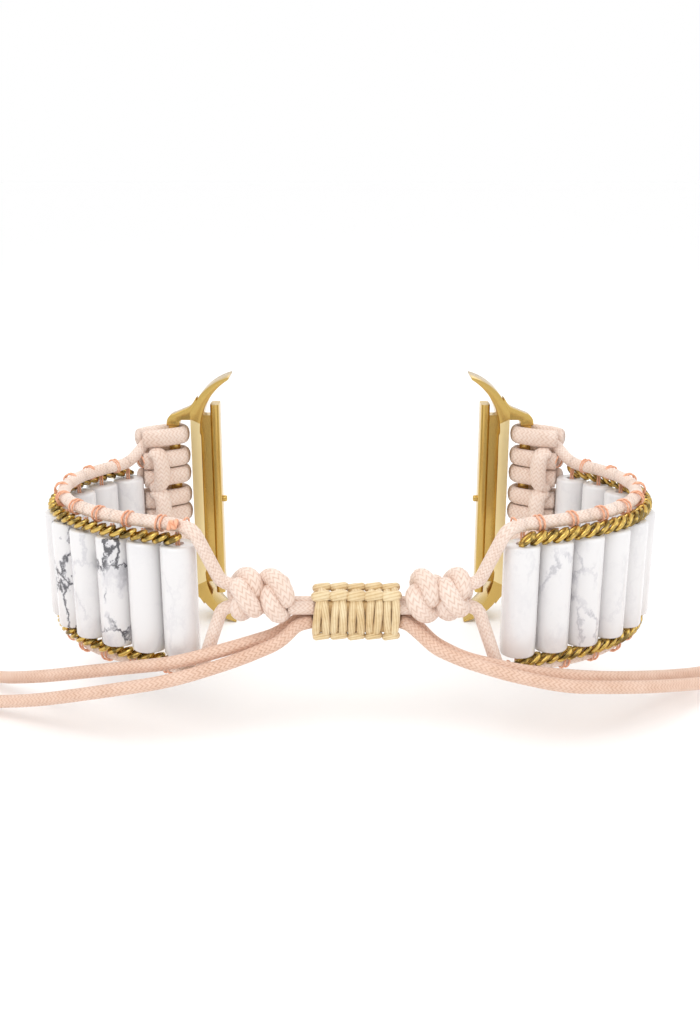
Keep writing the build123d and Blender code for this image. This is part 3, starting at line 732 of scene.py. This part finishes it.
def build_hitch(side):
    """The eight turns and three bights of one strap."""
    sign = SIDES[side]
    bm = bmesh.new()
    heights = [(WRAPS / 2 - i - 0.5) * WRAP_PITCH + (-1) ** i * PAIR_SHIFT for i in range(WRAPS)]
    for k, z in enumerate(heights):
        path = [from_bar(along, out, z) for along, out in WRAP_RUN]
        path += [from_bar(-WRAP_R * sin(pi * i / 8), WRAP_R * cos(pi * i / 8), z) for i in range(9)]
        path += [from_bar(along, -out, z) for along, out in reversed(WRAP_RUN)]
        line = rounded(mirrored(path, sign), share=0.4, step=0.45)
        add_tube(bm, ring_frames(line, side=(0, 0, 1)), WRAP_THICK, 14, flat=WRAP_FLATTEN, start_mm=k * 0.7)
    for first, last in BIGHT_PAIRS:
        top, bottom = heights[first] + BIGHT_OVER, heights[last] - BIGHT_OVER
        path = [from_bar(BIGHT_AT + along, out, top + up) for along, out, up in BIGHT_RUN]
        path += [from_bar(BIGHT_AT + along, out, bottom - up) for along, out, up in reversed(BIGHT_RUN)]
        line = rounded(mirrored(path, sign), share=0.45, step=0.4)
        ahead, here = mirrored([from_bar(1, 0, 0), from_bar(0, 0, 0)], sign)
        frames = ring_frames(line, side=ahead - here)
        add_tube(bm, frames, BIGHT_THICK, 14, flat=BIGHT_FLATTEN, start_mm=first)
    obj = finish_mesh(side + " bar hitch", bm, WAXED)
    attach(obj, side + "_hitch")
    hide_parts(side + "_bar_hitch")
    return obj


for side in SIDES:
    print(build_hitch(side).name)

# %% [markdown]
# ## Beads
#
# A bead is a cylinder with a bore and softly rounded rims. The stone's pattern comes from its place in the
# band, so no two beads look alike.

# %% Beads
BORE_R, BORE_MOUTH_R = 0.5, 0.7
RIM, RIM_STEP = 0.3, 0.09  # the rounding of a bead's ends, and of its sharper inner part
PLAIN = 0.12               # how veined a bead is that has no value of its own
VEINED = {("left", 3): 1.5, ("left", 5): 1.0, ("right", 2): 0.36, ("right", 3): 0.36, ("left", 4): 0.25}


def build_bead(side, index):
    """Bead number 10 is beside the adapter and number 1 beside the clasp."""
    (x, y), _ = BEADS[10 - index]
    bm = bmesh.new()
    low, high = STRAP_Z - BEAD_LENGTH / 2, STRAP_Z + BEAD_LENGTH / 2
    centre = Vector((SIDES[side] * x, y, 0))
    end = [(BORE_R, low + RIM), (BORE_MOUTH_R, low), (BEAD_R - RIM, low), (BEAD_R - RIM_STEP, low + RIM_STEP),
           (BEAD_R, low + RIM)]
    wall = [(BEAD_R, low + BEAD_LENGTH * i / 4) for i in (1, 2, 3)]
    profile = end + wall + [(r, low + high - z) for r, z in reversed(end)]
    verts = [bm.verts.new(centre + Vector((r, 0, z))) for r, z in profile]
    edges = [bm.edges.new((a, b)) for a, b in zip(verts, verts[1:] + verts[:1])]
    bmesh.ops.spin(bm, geom=verts + edges, cent=centre, axis=(0, 0, 1), angle=2 * pi, steps=36,
                   use_merge=True)
    bmesh.ops.remove_doubles(bm, verts=bm.verts, dist=1e-5)
    obj = finish_mesh(f"{side} bead {index:02d}", bm, HOWLITE, sharp=50)
    veined = obj.data.attributes.new("veined", "FLOAT", "POINT")
    veined.data.foreach_set("value", [VEINED.get((side, index), PLAIN)] * len(obj.data.vertices))
    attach(obj, f"{side}_link_{index:02d}")
    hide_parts(f"{side}_bead_{index:02d}")
    return obj


beads = [build_bead(side, index) for side in SIDES for index in range(10, 0, -1)]
print(len(beads), "beads of", round(2 * BEAD_R, 1), "by", BEAD_LENGTH, "mm")

# %% [markdown]
# ## Edge cords
#
# A waxed cord runs along each edge, then leads to the knot. It is cut at the middle of every bead, and each
# piece bends between the two beads that it joins.

# %% Edge cords
CORD_START, CORD_LEAVE, LEAVE_SHARE = 1.3, 3.9, 0.12   # from the bar, and how far it has climbed by then
LEAD_OUT = 0.9             # the cord passes the last gap this far towards the outer side
KNOT_ENTRY = ((0.75, 1.65), (-0.9, 1.1))               # beyond the knot's end, and above its middle


def edge_height(up, rise):
    """Height of something beyond the beads' upper or lower ends."""
    return STRAP_Z + up * (BEAD_LENGTH / 2 + rise)


def edge_route(up):
    """Corner points of one edge cord, from the bar to the knot, on the right side."""
    z = edge_height(up, CORD_RISE)
    wrap = up * (WRAPS / 2 - 0.5) * WRAP_PITCH
    start = step_along(BAR, FIRST_HEADING, CORD_START)
    leave = step_along(BAR, FIRST_HEADING, CORD_LEAVE)
    route = [(*start, wrap), (*leave, wrap + LEAVE_SHARE * (z - wrap))]
    route += [(*beside(place, -CORD_IN), z) for place in BEADS]
    x, y = GAPS[-1]
    route.append((x, y - LEAD_OUT, z))
    return route + [(KNOT_X + KNOT_HALF + out, CLASP_Y, CLASP_Z + up * rise) for out, rise in KNOT_ENTRY]


def build_edge_cord(side, up):
    """One edge cord as eleven pieces, each bending across one gap. Gives its length."""
    word = "upper" if up > 0 else "lower"
    route = mirrored(edge_route(up), SIDES[side])
    line = rounded(route, share=0.36, step=0.42)
    frames = ring_frames(line)
    over_beads = [min(range(len(line)), key=lambda i: (line[i] - corner).length) for corner in route[2:-3]]
    marks = [0] + over_beads + [len(line) - 1]
    run = 0.0
    for k, (first, last) in enumerate(zip(marks, marks[1:])):
        bm = bmesh.new()
        add_tube(bm, frames[first:last + 1], CORD_R, 14, start_mm=run)
        run += sum((line[i + 1] - line[i]).length for i in range(first, last))
        obj = finish_mesh(f"{side} {word} edge cord {k + 1:02d}", bm, WAXED)
        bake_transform(obj)
        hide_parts(f"{side}_{word}_edge_cord")
    return run


for side in SIDES:
    for up in (1, -1):
        print(side, "edge cord", round(build_edge_cord(side, up), 1), "mm long")

# %% [markdown]
# ## Chains
#
# A curb chain lies over the outer edge of the bead ends. Its thick oval links all lean the same way, so it
# shows a row of slanting strands, and each link moves with the bead under it.

# %% Chains
CHAIN_PITCH, LINK_LONG, LINK_WIDE, WIRE_R = 1.4, 2.5, 1.6, 0.29
LINK_LEANS = {"left": 25, "right": 38}     # degrees out of the level
LINK_ROLLS = {"left": 13, "right": 5}      # degrees about the link's own length
LINK_POINTS, LINK_SIDES = 12, 7
CHAIN_SHORT = 0.3


def chain_line(side, up):
    """The middle line of one chain, as points a tenth of a millimetre apart."""
    z = edge_height(up, CHAIN_RISE)
    first, last = BEADS[0], BEADS[-1]
    start = step_along(beside(first, CHAIN_OUT), first[1], -BEAD_PITCH / 2)
    finish = step_along(beside(last, CHAIN_OUT), last[1], BEAD_PITCH / 2 - CHAIN_SHORT)
    corners = [start] + [beside(place, CHAIN_OUT) for place in BEADS[1:-1]] + [finish]
    return rounded(mirrored([(*corner, z) for corner in corners], SIDES[side]), step=0.1)


def link_points(side, centre, tangent):
    """Points round one oval link, which leans out of the level and rolls a little."""
    lean, roll = radians(LINK_LEANS[side]), radians(LINK_ROLLS[side])
    level = Vector((0, 0, 1)).cross(tangent)
    along = tangent * cos(lean) + Vector((0, 0, -SIDES[side])) * sin(lean)
    across = level * cos(roll) + along.cross(level) * sin(roll)
    half, bend = LINK_LONG / 2 - WIRE_R, LINK_WIDE / 2 - WIRE_R
    turns = [2 * pi * j / LINK_POINTS for j in range(LINK_POINTS)]
    return [centre + along * (half * cos(a)) + across * (bend * sin(a)) for a in turns]


def build_chain(side, up):
    """One chain: the links over each bead are one mesh, which rides on that bead. Gives their count."""
    word = "upper" if up > 0 else "lower"
    line = chain_line(side, up)
    length = sum((b - a).length for a, b in zip(line, line[1:]))
    count = int((length - LINK_LONG) / CHAIN_PITCH) + 1
    slack = length - (count - 1) * CHAIN_PITCH
    meshes = {}
    for i in range(count):
        place = (slack / 2 + i * CHAIN_PITCH) / length * (len(line) - 1)
        k = min(int(place), len(line) - 2)
        centre = line[k].lerp(line[k + 1], place - k)
        points = link_points(side, centre, (line[k + 1] - line[k]).normalized())
        away = [(Vector((SIDES[side] * x, y)) - centre.xy).length for (x, y), _ in BEADS]
        bm = meshes.setdefault(away.index(min(away)), bmesh.new())
        add_tube(bm, ring_frames(points, closed=True), WIRE_R, LINK_SIDES, closed=True)
    for nearest, bm in meshes.items():
        obj = finish_mesh(f"{side} {word} chain {10 - nearest:02d}", bm, BRASS)
        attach(obj, f"{side}_link_{10 - nearest:02d}")
        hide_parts(f"{side}_{word}_chain")
    return count


for side in SIDES:
    for up in (1, -1):
        print(side, "chain of", build_chain(side, up), "links")

# %% [markdown]
# ## Thread
#
# The thread comes up through each bead's bore and takes a turn round the edge cord on both sides of it. It
# ends in a small knot on the upper cord beside the clasp.

# %% Thread
THREAD_R, THREAD_SIDES = 0.12, 8
RUNS_APART = (-0.14, 0.14)
TURN_BEFORE, TURN_AFTER, TURN_LEAN = -1.86, 1.8, 0.12
LAST_TURN = 0.85           # beside the clasp the edge cord already leaves the beads, so the turn is sooner
THREAD_KNOT_AXIS, THREAD_KNOT_TURNS = (1, 0, 0.2), (-0.3, 0.05, 0.35)
THREAD_KNOT_R, THREAD_KNOT_CORD_R = 0.34, 0.26


def build_thread(side, index):
    """The thread of one bead: the run through its bore, and a turn on each side at both ends."""
    place = BEADS[10 - index]
    (x, y), heading = place
    sign = SIDES[side]
    bm = bmesh.new()
    run_half = BEAD_LENGTH / 2 + CORD_RISE - CORD_R
    for shift in RUNS_APART:
        ends = [Vector((sign * x + shift, y, STRAP_Z + end * run_half)) for end in (-1, 1)]
        add_tube(bm, ring_frames(even(ends, 3.0)), THREAD_R, THREAD_SIDES)
    along = Vector((sign * cos(radians(heading)), -sin(radians(heading)), 0))
    turn_r = CORD_R + THREAD_R
    cx, cy = beside(place, -CORD_IN)
    for up in (1, -1):
        centre = Vector((sign * cx, cy, edge_height(up, CORD_RISE)))
        for step in (TURN_BEFORE, TURN_AFTER if index > 1 else LAST_TURN):
            points = loop_points(centre + along * step, along, (0, 0, up), turn_r, turn_r, 16, TURN_LEAN)
            add_tube(bm, ring_frames(points, closed=True), THREAD_R, THREAD_SIDES, closed=True)
    obj = finish_mesh(f"{side} thread {index:02d}", bm, THREAD)
    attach(obj, f"{side}_link_{index:02d}")
    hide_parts(f"{side}_ladder_thread")
    return obj


threads = [build_thread(side, index) for side in SIDES for index in range(10, 0, -1)]
low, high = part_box("left_thread_knot")
bm = bmesh.new()
add_turns(bm, (low + high) / 2 / MM, THREAD_KNOT_AXIS, (0, 0, 1), THREAD_KNOT_R, THREAD_KNOT_CORD_R,
          THREAD_KNOT_TURNS, TURN_LEAN, THREAD_SIDES)
thread_knot = finish_mesh("left thread knot", bm, THREAD)
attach(thread_knot, "left_link_01")
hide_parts("left_thread_knot")
print(len(threads), "threads")

# %% [markdown]
# ## Double knots
#
# The two edge cords of a strap meet in a fat double knot. Each half is a closed curve that winds twice round
# the clasp's axis and passes over and under itself, like a tight overhand knot.

# %% Double knots
KNOT_POINTS = 54
KNOT_RING, KNOT_WAVE, KNOT_CORD_R = 1.38, 0.78, 1.04   # the ring that it winds round, its swing, its cord
KNOT_STRETCH, KNOT_LEAN = 1.15, 0.35
KNOT_SPREAD = 0.45         # the halves' middles, as a share of the knot's half length
KNOT_TURN, KNOT_START = 35, 20                         # degrees: the halves turn apart, and together
FILLING_R = 1.6
CORE_INTO = 0.5            # the cords between knot and slider run this far into both


def knotted(centre, start, lean):
    """Points of a cord that winds twice round the X axis and passes over and under itself three times."""
    made = []
    for i in range(KNOT_POINTS):
        a = 2 * pi * i / KNOT_POINTS
        reach = KNOT_RING + KNOT_WAVE * cos(3 * a)
        x = KNOT_WAVE * sin(3 * a) * KNOT_STRETCH + lean * cos(2 * a + start)
        made.append(centre + Vector((x, reach * cos(2 * a + start), reach * sin(2 * a + start))))
    return made


def build_knot(side):
    """Two fat lumps side by side, each a cord that winds over and under itself."""
    sign = SIDES[side]
    centre = Vector((sign * KNOT_X, CLASP_Y, CLASP_Z))
    bm = bmesh.new()
    for half in (-1, 1):
        middle = centre + Vector((half * KNOT_HALF * KNOT_SPREAD, 0, 0))
        points = knotted(middle, radians(KNOT_TURN * half * sign + KNOT_START), KNOT_LEAN * sign)
        add_tube(bm, ring_frames(points, closed=True), KNOT_CORD_R, 14, closed=True, start_mm=3 * half)
    for place in (-KNOT_SPREAD, 0, KNOT_SPREAD):
        middle = Matrix.Translation(centre + Vector((place * KNOT_HALF, 0, 0)))
        bmesh.ops.create_icosphere(bm, subdivisions=3, radius=FILLING_R, matrix=middle)
    obj = finish_mesh(side + " cord knot", bm, WAXED)
    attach(obj, side + "_knot")
    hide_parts(side + "_cord_knot")
    core = bmesh.new()
    slider_end = SLIDER_X + sign * SLIDER_HALF
    knot_end = sign * (KNOT_X - KNOT_HALF)
    for row in (-CORE_SPREAD, CORE_SPREAD):
        ends = [Vector((x, CLASP_Y + row, SLIDER_Z + CORE_SPREAD))
                for x in (slider_end - sign * CORE_INTO, knot_end + sign * CORE_INTO)]
        add_tube(core, ring_frames(even(ends, 0.4)), CORD_R, 14)
    cords = finish_mesh(side + " core cords", core, WAXED)
    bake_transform(cords)
    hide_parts(side + "_core_cords")
    return obj


for side in SIDES:
    print(build_knot(side).name)

# %% [markdown]
# ## Slider
#
# The clasp is a row of square knots round the four cords. Each knot shows as upright strands in front and
# behind, and as a bump on the ridges along the top and bottom.

# %% Slider
STRAND_R, STRAND_EDGE = 0.45, 0.5      # and how far the first one's middle is from the slider's end
STRAND_LEANS = (0.3, -0.12, 0.22, 0.02, 0.16, -0.14, 0.1, 0.24, -0.05, 0.12)
STRAND_POINTS, SQUARENESS = 24, 0.7    # a low power pulls a round loop out towards a square
STRAND_DEEP = (1.97, 2.05)             # half depth of even and odd strands
STRAND_HIGH, END_STRAND_HIGH = 2.15, 2.3
PAIR_DRAW = 0.17           # each knot of the ridges draws a pair of strands together
FILLING_INSET, FILLING_DEEP, FILLING_HIGH, FILLING_ROUND = 0.35, 1.75, 1.85, 0.5
RIDGES = ((2.4, -1.3, 0.58), (-2.25, -1.5, 0.42), (2.4, 1.3, 0.5))     # height, depth and cord radius
BUMPS, BUMP_EDGE, BUMP_STEP = 5, 1.0, 0.06
BUMP_LONG, BUMP_WIDE, BUMP_LEAN = 0.6, 0.3, 0.06
BUMP_AXIS, BUMP_ACROSS = (0.1, 0.45, 1), (1, 0.05, 0)


def strand_points(i, lean):
    """Points round one strand: a squarish loop round the cords, drawn towards its neighbour at both ends."""
    last = len(STRAND_LEANS) - 1
    x = SLIDER_X + (2 * i / last - 1) * (SLIDER_HALF - STRAND_EDGE)
    deep, high = STRAND_DEEP[i % 2], END_STRAND_HIGH if i in (0, last) else STRAND_HIGH
    made = []
    for a in range(STRAND_POINTS):
        angle = 2 * pi * a / STRAND_POINTS
        y, z = [copysign(abs(part) ** SQUARENESS, part) for part in (cos(angle), sin(angle))]
        level = z * high / END_STRAND_HIGH
        drawn = (-1) ** i * PAIR_DRAW * level * level
        made.append(Vector((x + lean * level + drawn, CLASP_Y + y * deep, SLIDER_Z + z * high)))
    return made


def build_slider():
    """Loops of twisted cord round the cords inside, with knotted ridges above and below."""
    bm = bmesh.new()
    half = Vector((SLIDER_HALF - FILLING_INSET, FILLING_DEEP, FILLING_HIGH))
    middle = Vector((SLIDER_X, CLASP_Y, SLIDER_Z))
    filling = block(bm, middle - half, middle + half)
    bmesh.ops.bevel(bm, geom=list({e for v in filling for e in v.link_edges}), offset=FILLING_ROUND,
                    segments=3, profile=0.5, affect="EDGES", material=-1)
    for i, lean in enumerate(STRAND_LEANS):
        frames = ring_frames(strand_points(i, lean), closed=True)
        add_tube(bm, frames, STRAND_R, 12, closed=True, start_mm=i * 0.9)
    for height, depth, radius in RIDGES:
        for i in range(BUMPS):
            x = (2 * i / (BUMPS - 1) - 1) * (SLIDER_HALF - BUMP_EDGE)
            place = middle + Vector((x, depth, height + i % 2 * BUMP_STEP))
            points = loop_points(place, BUMP_AXIS, BUMP_ACROSS, BUMP_LONG, BUMP_WIDE, 14, BUMP_LEAN)
            add_tube(bm, ring_frames(points, closed=True), radius, 10, closed=True, start_mm=i)
    cords = bmesh.new()
    for row in (-CORE_SPREAD, CORE_SPREAD):
        for level in (-CORE_SPREAD, CORE_SPREAD):
            ends = [middle + Vector((s * (SLIDER_HALF - 0.1), row, level)) for s in (-1, 1)]
            add_tube(cords, ring_frames(even(ends, 2.0)), CORD_R, 14)
    obj = finish_mesh("slider", bm, MACRAME)
    inside = finish_mesh("slider cords", cords, WAXED)
    for piece, node, slot in ((obj, "slider", "macrame_cord"), (inside, "slider_cords", "waxed_cord")):
        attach(piece, "slider")
        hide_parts(node)
    return obj


print(build_slider().name, "with", len(STRAND_LEANS), "loops")
